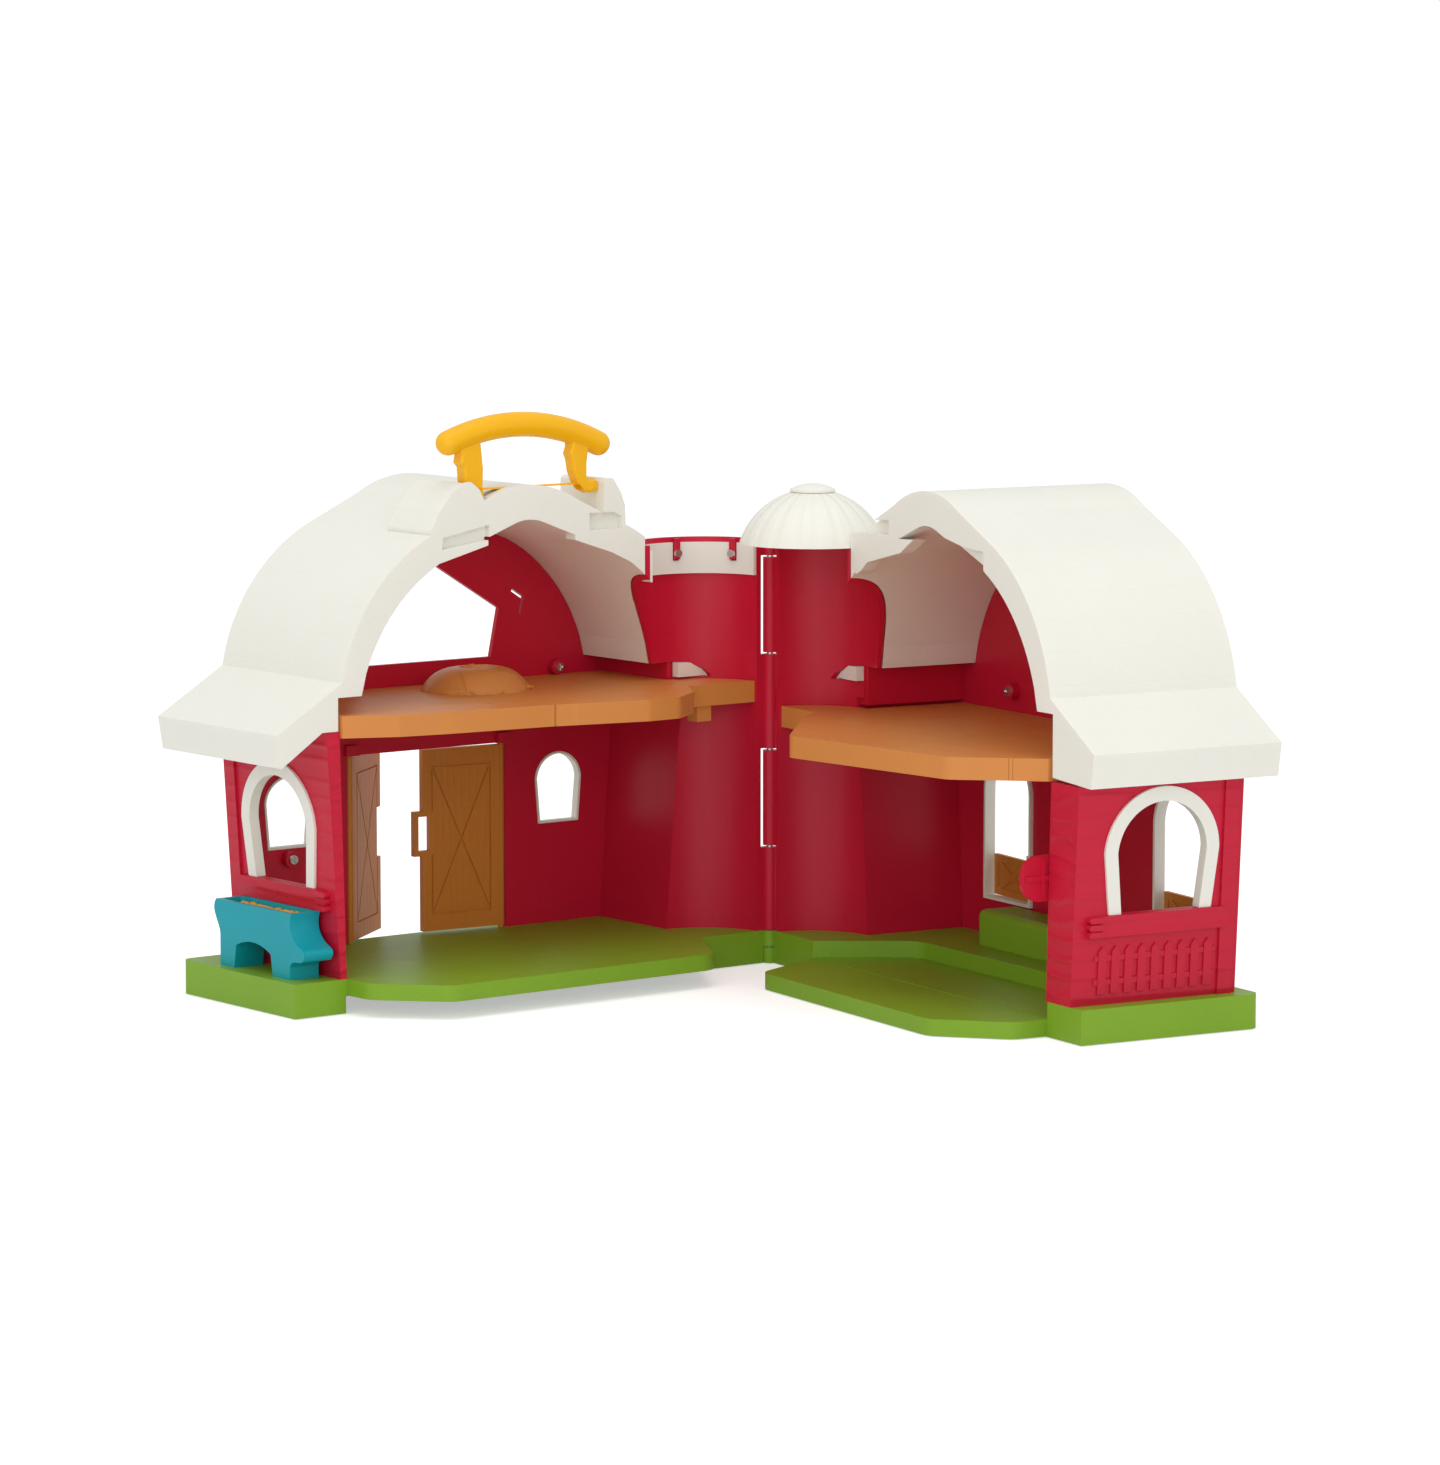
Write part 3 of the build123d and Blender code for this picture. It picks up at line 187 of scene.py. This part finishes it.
# %% Wood grain relief
def wood_grain(recipe, across, up, depth=0.0006, pitch=230.0):
    """Wavy grain lines that run along up, on faces that also hold the direction across."""
    stretched = recipe.stretch(recipe.place, tuple(0.16 if a else 1.0 for a in up))
    wave = recipe.add("ShaderNodeTexWave", wave_type="BANDS", bands_direction=across,
                      wave_profile="SIN")
    wave.inputs["Scale"].default_value = pitch / 6.28
    wave.inputs["Distortion"].default_value = 6.0
    wave.inputs["Detail"].default_value = 2.0
    wave.inputs["Detail Scale"].default_value = 0.9
    recipe.join(stretched, wave.inputs["Vector"])
    lines = recipe.math("POWER", wave.outputs["Fac"], 3.0)
    return recipe.bump(lines, depth, 0.6, after=recipe.grain)


RED = (0.60, 0.010, 0.040)
front_red = moulded("crimson_front", RED, gloss=0.34)
back_red = moulded("crimson_back", RED, opened=True, gloss=0.34)
front_red_wood = moulded("crimson_boards_front", RED, gloss=0.38)
wood_grain(front_red_wood, "Z", (0, 1, 0), 0.0009, 190.0)
back_red_wood = moulded("crimson_boards_back", RED, opened=True, gloss=0.38)
wood_grain(back_red_wood, "Z", (0, 1, 0), 0.0009, 190.0)
print("red finishes:", front_red.material.name, back_red.material.name)


# %% [markdown]
# ## Planks
# Floors and doors imitate planks: long boards with a narrow groove between them. A brick texture
# with long bricks gives the grooves, and a stretched noise gives each board its grain.


# %% Plank relief
def planks(recipe, turn, width, length, depth=0.0005):
    """Grooves between boards, laid out in the x-y plane after a turn in degrees."""
    lay = recipe.add("ShaderNodeMapping", vector_type="POINT")
    lay.inputs["Rotation"].default_value = tuple(math.radians(a) for a in turn)
    recipe.join(recipe.place, lay.inputs["Vector"])
    boards = recipe.add("ShaderNodeTexBrick", offset=0.37)
    boards.inputs["Scale"].default_value = 1.0
    boards.inputs["Mortar Size"].default_value = 0.0007
    boards.inputs["Mortar Smooth"].default_value = 0.3
    boards.inputs["Brick Width"].default_value = length
    boards.inputs["Row Height"].default_value = width
    recipe.join(lay.outputs[0], boards.inputs["Vector"])
    groove = recipe.math("SUBTRACT", 1.0, boards.outputs["Fac"])
    carved = recipe.bump(groove, depth, 0.8, after=recipe.grain)
    grain_place = recipe.stretch(lay.outputs[0], (12.0, 160.0, 160.0))
    return recipe.bump(recipe.noise(grain_place, 1.0, 4.0), 0.00022, 0.5, after=carved)


CARAMEL = (0.68, 0.255, 0.060)
front_caramel = moulded("caramel_front", CARAMEL, gloss=0.38)
planks(front_caramel, (0, 0, 18), 0.026, 0.30, 0.0012)
back_caramel = moulded("caramel_back", CARAMEL, opened=True, gloss=0.38)
planks(back_caramel, (0, 0, -18), 0.026, 0.30, 0.0012)
BROWN = (0.62, 0.215, 0.030)
front_brown = moulded("door_brown_front", BROWN, gloss=0.40)
wood_grain(front_brown, "X", (0, 0, 1), 0.00012, 420.0)
back_brown = moulded("door_brown_back", BROWN, opened=True, gloss=0.40)
wood_grain(back_brown, "X", (0, 0, 1), 0.00012, 420.0)
print("wooden finishes are ready")

# %% [markdown]
# ## Grass-green base
# The base is a bright green. Its deck has short raised strokes, like trodden grass, which a
# Voronoi texture stretched one way imitates.


# %% Green base
GREEN = (0.225, 0.42, 0.024)


def grass(recipe):
    """Short strokes on the deck."""
    turned = recipe.add("ShaderNodeMapping", vector_type="POINT")
    turned.inputs["Rotation"].default_value = (0, 0, math.radians(35))
    turned.inputs["Scale"].default_value = (150, 42, 60)
    recipe.join(recipe.place, turned.inputs["Vector"])
    strokes = recipe.add("ShaderNodeTexVoronoi", feature="F1")
    strokes.inputs["Scale"].default_value = 1.0
    recipe.join(turned.outputs[0], strokes.inputs["Vector"])
    near = recipe.math("LESS_THAN", strokes.outputs["Distance"], 0.28)
    return recipe.bump(near, 0.0003, 0.35, after=recipe.grain)


front_green = moulded("grass_green_front", GREEN, gloss=0.40)
grass(front_green)
back_green = moulded("grass_green_back", GREEN, opened=True, gloss=0.40)
grass(back_green)
print("green finishes are ready")

# %% [markdown]
# ## Ivory roof with shingles
# The roof and trims are ivory, a little translucent. Rows of shingles are moulded on the roof.
# They go round the gambrel curve, so the row number comes from the distance travelled down the
# roof: how far out from the ridge plus how far below it.


# %% Ivory roof
IVORY = (0.87, 0.86, 0.78)
SHINGLE = 0.019


def shingles(recipe):
    """Rows of offset shingles that follow the curve of the roof."""
    parts = recipe.add("ShaderNodeSeparateXYZ")
    recipe.join(recipe.place, parts.inputs[0])
    out = recipe.math("ABSOLUTE", recipe.math("SUBTRACT", parts.outputs["X"], RIDGE_X))
    down = recipe.math("SUBTRACT", RIDGE_Z, parts.outputs["Z"])
    travel = recipe.math("ADD", out, down)
    lay = recipe.add("ShaderNodeCombineXYZ")
    recipe.join(parts.outputs["Y"], lay.inputs["X"])
    recipe.join(travel, lay.inputs["Y"])
    rows = recipe.add("ShaderNodeTexBrick", offset=0.5)
    rows.inputs["Scale"].default_value = 1.0
    rows.inputs["Mortar Size"].default_value = 0.0006
    rows.inputs["Mortar Smooth"].default_value = 0.6
    rows.inputs["Brick Width"].default_value = SHINGLE
    rows.inputs["Row Height"].default_value = SHINGLE * 1.3
    recipe.join(lay.outputs[0], rows.inputs["Vector"])
    joint = recipe.math("SUBTRACT", 1.0, rows.outputs["Fac"])
    return recipe.bump(joint, 0.0002, 0.35, after=recipe.grain)


front_roofing = moulded("ivory_roof_front", IVORY, gloss=0.34, drift=0.03, soft_light=0.15)
shingles(front_roofing)
back_roofing = moulded("ivory_roof_back", IVORY, opened=True, gloss=0.34, drift=0.03, soft_light=0.15)
shingles(back_roofing)
DOME_RIBS = 20.0
dome_ivory = moulded("ivory_dome", IVORY, opened=True, gloss=0.34, drift=0.03, soft_light=0.15)
dome_parts = dome_ivory.add("ShaderNodeSeparateXYZ")
dome_ivory.join(dome_ivory.place, dome_parts.inputs[0])
around = dome_ivory.math("ARCTAN2", dome_parts.outputs["Y"],
                         dome_ivory.math("SUBTRACT", dome_parts.outputs["X"], SILO_X))
rib = dome_ivory.math("COSINE", dome_ivory.math("MULTIPLY", around, DOME_RIBS))
dome_ivory.bump(dome_ivory.math("SMOOTH_MIN", rib, 0.2), 0.0006, 0.5, after=dome_ivory.grain)
front_ivory = moulded("ivory_front", IVORY, gloss=0.34, drift=0.03, soft_light=0.15)
back_ivory = moulded("ivory_back", IVORY, opened=True, gloss=0.34, drift=0.03, soft_light=0.15)
print("ivory finishes are ready")

# %% [markdown]
# ## Handle, trough, feed and metal
# The handle is a glossy golden yellow with faint grain, like a bent branch. The trough is
# turquoise. The pin and screws are bright plated steel.

# %% Small finishes
golden = moulded("golden_yellow", (1.0, 0.50, 0.006), gloss=0.28, soft_light=0.1)
golden.bump(golden.noise(golden.stretch(golden.place, (60.0, 420.0, 200.0)), 1.0, 2.0), 0.0004, 0.4,
            after=golden.grain)
turquoise = moulded("turquoise", (0.0, 0.36, 0.43), gloss=0.36)
feed_gold = moulded("feed_gold", (0.86, 0.46, 0.05), gloss=0.5)
steel = moulded("plated_steel", (0.75, 0.75, 0.77), gloss=0.22, drift=0.05)
steel.shader.inputs["Metallic"].default_value = 1.0
print("small finishes are ready")

# %% Dress the solids
DRESS = {
    "front_base": front_green, "back_base": back_green,
    "front_facade": front_red, "back_facade": back_red,
    "front_side_wall": front_red_wood, "back_side_wall": back_red_wood,
    "front_silo_wall": front_red, "back_silo_wall": back_red, "latch_tab": back_red,
    "front_roof": front_roofing, "back_roof": back_roofing,
    "silo_dome": dome_ivory, "dome_cap": back_ivory, "silo_liner": front_ivory,
    "front_side_window_trim": front_ivory, "back_side_window_trim": back_ivory,
    "front_window_trims": front_ivory, "back_opening_trims": back_ivory,
    "front_upper_floor": front_caramel, "back_upper_floor": back_caramel,
    "silo_side_door": front_brown, "trough_side_door": front_brown,
    "silo_side_gate": back_brown, "latch_side_gate": back_brown,
    "carry_handle": golden, "feed_trough": turquoise, "trough_feed": feed_gold,
    "hinge_pin": steel, "front_screws": steel, "back_screws": steel,
}
for name, solid in solids.items():
    solid.data.materials.clear()
    solid.data.materials.append(DRESS[name].material)
print("dressed", len(DRESS), "solids")

# %% [markdown]
# ## Straw on the upper floor
# The mound of straw is one solid. Loose stalks lie over it, each a thin three-sided rod bent to
# follow the heap. The heap's height falls off from its middle like the side of a dome.


# %% Straw stalks
def rod(shape, points, radius):
    """Three-sided rod along a list of points, added to shape."""
    rings = []
    for place, point in enumerate(points):
        ahead = points[min(place + 1, len(points) - 1)] - points[max(place - 1, 0)]
        side = ahead.cross(Vector((0, 0, 1))).normalized()
        above = side.cross(ahead).normalized()
        thin = radius * (0.35 if place in (0, len(points) - 1) else 1.0)
        rings.append([shape.verts.new(point + thin * (side * math.cos(a) + above * math.sin(a)))
                      for a in (math.radians(90), math.radians(210), math.radians(330))])
    for low, high in zip(rings, rings[1:]):
        for corner in range(3):
            following = (corner + 1) % 3
            shape.faces.new((low[corner], low[following], high[following], high[corner]))
    shape.faces.new(reversed(rings[0]))
    shape.faces.new(rings[-1])


def make_piece(name, shape, half, rides, finish):
    """Turn a finished bmesh, drawn in the closed barn's directions, into a piece that rides."""
    bmesh.ops.recalc_face_normals(shape, faces=shape.faces)
    bmesh.ops.transform(shape, matrix=half, verts=shape.verts)
    mesh = bpy.data.meshes.new(name)
    shape.to_mesh(mesh)
    shape.free()
    piece = bpy.data.objects.new(name, mesh)
    bpy.context.collection.objects.link(piece)
    mesh.materials.append(finish.material)
    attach(piece, rides)
    print(name, "has", len(mesh.polygons), "faces")
    return piece


HEAP = Vector((0.1635, -0.064, 0.165))
HEAP_SIZE = (0.033, 0.028, 0.0128)
STALKS = 190
luck = random.Random(7)
straw = bmesh.new()
for _ in range(STALKS):
    turn = luck.uniform(0, math.tau)
    spread = luck.uniform(0.05, 0.97)
    lie = turn + math.pi / 2 + luck.uniform(-0.5, 0.5)
    length = luck.uniform(0.010, 0.022)
    points = []
    for step in (-0.5, -0.17, 0.17, 0.5):
        x = HEAP_SIZE[0] * spread * math.cos(turn) + step * length * math.cos(lie)
        y = HEAP_SIZE[1] * spread * math.sin(turn) + step * length * math.sin(lie)
        out = min(1.0, math.hypot(x / HEAP_SIZE[0], y / HEAP_SIZE[1]))
        height = HEAP_SIZE[2] * (1 - out ** 1.8) + luck.uniform(0.0002, 0.0012)
        points.append(HEAP + Vector((x, y, height)))
    rod(straw, points, luck.uniform(0.0005, 0.0009))
straw_caramel = moulded("straw_caramel", (0.74, 0.30, 0.07), gloss=0.42)
make_piece("straw_stalks", straw, FRONT_HALF, "front_half", straw_caramel)

# %% [markdown]
# ## Feed in the trough
# Grains lie on the feed: small flattened balls, turned at random, a little proud of its surface.

# %% Feed grains
TROUGH_ROOM = ((0.3083, 0.3187), (-0.083, -0.021))
FEED_TOP = 0.0530
GRAINS = 210
grains = bmesh.new()
for _ in range(GRAINS):
    spot = Vector((luck.uniform(*TROUGH_ROOM[0]), luck.uniform(*TROUGH_ROOM[1]),
                   FEED_TOP + luck.uniform(-0.0001, 0.0006)))
    pose = (Matrix.Translation(spot) @ Matrix.Rotation(luck.uniform(0, math.tau), 4, "Z")
            @ Matrix.Diagonal((1.7, 1.0, 0.8, 1.0)))
    bmesh.ops.create_icosphere(grains, subdivisions=1, radius=luck.uniform(0.0008, 0.0012),
                               matrix=pose)
make_piece("feed_grains", grains, FRONT_HALF, "front_half", feed_gold)

# %% [markdown]
# ## Relief under the back half's side window
# The wall below that window carries shallow moulded pictures. A plain picket fence stands in for
# them here: pickets with pointed tops and two rails, barely proud of the leaning wall.


# %% Picket fence relief
WALL_LEAN = math.radians(3.5)
WALL_FOOT = Vector((0.319, 0.0, 0.019))
RELIEF = 0.0007
SUNK = 0.0002
PICKETS = 9


def slab(shape, outline, thickness):
    """Raised slab on the leaning wall from (depth, height) points."""
    upward = Vector((math.sin(WALL_LEAN), 0, math.cos(WALL_LEAN)))
    outward = Vector((math.cos(WALL_LEAN), 0, -math.sin(WALL_LEAN)))
    foot = [WALL_FOOT + Vector((0, depth, 0)) + upward * (height - WALL_FOOT.z) - outward * SUNK
            for depth, height in outline]
    face = shape.faces.new([shape.verts.new(point) for point in foot])
    raised = bmesh.ops.extrude_face_region(shape, geom=[face])
    tops = [item for item in raised["geom"] if isinstance(item, bmesh.types.BMVert)]
    bmesh.ops.translate(shape, verts=tops, vec=outward * (thickness + SUNK))


fence = bmesh.new()
for rail in (0.030, 0.043):
    slab(fence, [(0.014, rail), (0.092, rail), (0.092, rail + 0.003), (0.014, rail + 0.003)], RELIEF)
for number in range(PICKETS):
    left = 0.0165 + number * 0.0085
    slab(fence, [(left, 0.025), (left + 0.005, 0.025), (left + 0.005, 0.048),
                 (left + 0.0025, 0.051), (left, 0.048)], RELIEF * 1.5)
make_piece("fence_relief", fence, BACK_HALF, "back_half", back_red)

# %% [markdown]
# ## Studio
# A toy is photographed on seamless white: a pale floor, a big soft light overhead and three fills
# from the camera's side. The floor looks white because its colour is pale and the camera sees a little
# extra white in it, not because the lamps are strong, so the colours of the toy stay true.

# %% Floor and world
floor_mesh = bpy.data.meshes.new("studio_floor")
floor_shape = bmesh.new()
bmesh.ops.create_grid(floor_shape, x_segments=1, y_segments=1, size=8.0)
floor_shape.to_mesh(floor_mesh)
floor_shape.free()
floor = bpy.data.objects.new("studio_floor", floor_mesh)
bpy.context.collection.objects.link(floor)
floor.location = (0, 0, -0.0005)
paper = Recipe("studio_paper")
paper.shader.inputs["Base Color"].default_value = (0.90, 0.90, 0.90, 1)
paper.shader.inputs["Roughness"].default_value = 0.9
seen = paper.add("ShaderNodeLightPath")
lift = paper.math("MULTIPLY", seen.outputs["Is Camera Ray"], 0.45)
paper.shader.inputs["Emission Color"].default_value = (1, 1, 1, 1)
paper.join(lift, paper.shader.inputs["Emission Strength"])
floor_mesh.materials.append(paper.material)

world = bpy.data.worlds.new("studio")
bpy.context.scene.world = world
world.use_nodes = True
sky = world.node_tree.nodes["Background"]
links = world.node_tree.links
ray = world.node_tree.nodes.new("ShaderNodeLightPath")
level = world.node_tree.nodes.new("ShaderNodeMapRange")
links.new(ray.outputs["Is Camera Ray"], level.inputs["Value"])
level.inputs["To Min"].default_value = 0.72
level.inputs["To Max"].default_value = 1.0
links.new(level.outputs[0], sky.inputs["Strength"])
sky.inputs["Color"].default_value = (1, 1, 1, 1)
print("studio floor and sky are ready")


# %% Lamps
def soft_box(name, spot, aim, size, watts):
    """A square soft light at spot that faces aim."""
    lamp = bpy.data.lights.new(name, "AREA")
    lamp.shape = "SQUARE"
    lamp.size = size
    lamp.energy = watts
    holder = bpy.data.objects.new(name, lamp)
    holder.location = spot
    holder.rotation_euler = (Vector(aim) - Vector(spot)).to_track_quat("-Z", "Y").to_euler()
    bpy.context.collection.objects.link(holder)


soft_box("overhead", (0.3, 0.6, 2.4), (0, 0.1, 0.1), 2.0, 14)
soft_box("camera_left", (2.6, 1.0, 1.5), (0, 0.1, 0.15), 1.4, 6)
soft_box("camera_right", (0.2, 3.0, 1.3), (0, 0.1, 0.15), 1.4, 5)
soft_box("beside_camera", (1.9, 2.5, 0.8), (0, 0.1, 0.15), 1.6, 9)
print("four soft lights are up")

# %% [markdown]
# ## Camera
# The photograph was taken with a long lens from a little above the toy. The focal length, place
# and tilt were solved from corners whose sizes are known in the closed barn.

# %% Camera
lens = bpy.data.cameras.new("camera")
lens.sensor_fit = "HORIZONTAL"
lens.sensor_width = 36.0
lens.lens = 145.3
lens.clip_end = 50.0
camera = bpy.data.objects.new("camera", lens)
bpy.context.collection.objects.link(camera)
camera.location = (1.8996, 2.7150, 0.5283)
TILT = math.radians(6.72)
look = Vector((-0.6108 * math.cos(TILT), -0.7918 * math.cos(TILT), -math.sin(TILT)))
camera.rotation_euler = look.to_track_quat("-Z", "Y").to_euler()
bpy.context.scene.camera = camera
bpy.context.scene.view_settings.view_transform = "Standard"
print("camera at", tuple(round(c, 3) for c in camera.location))
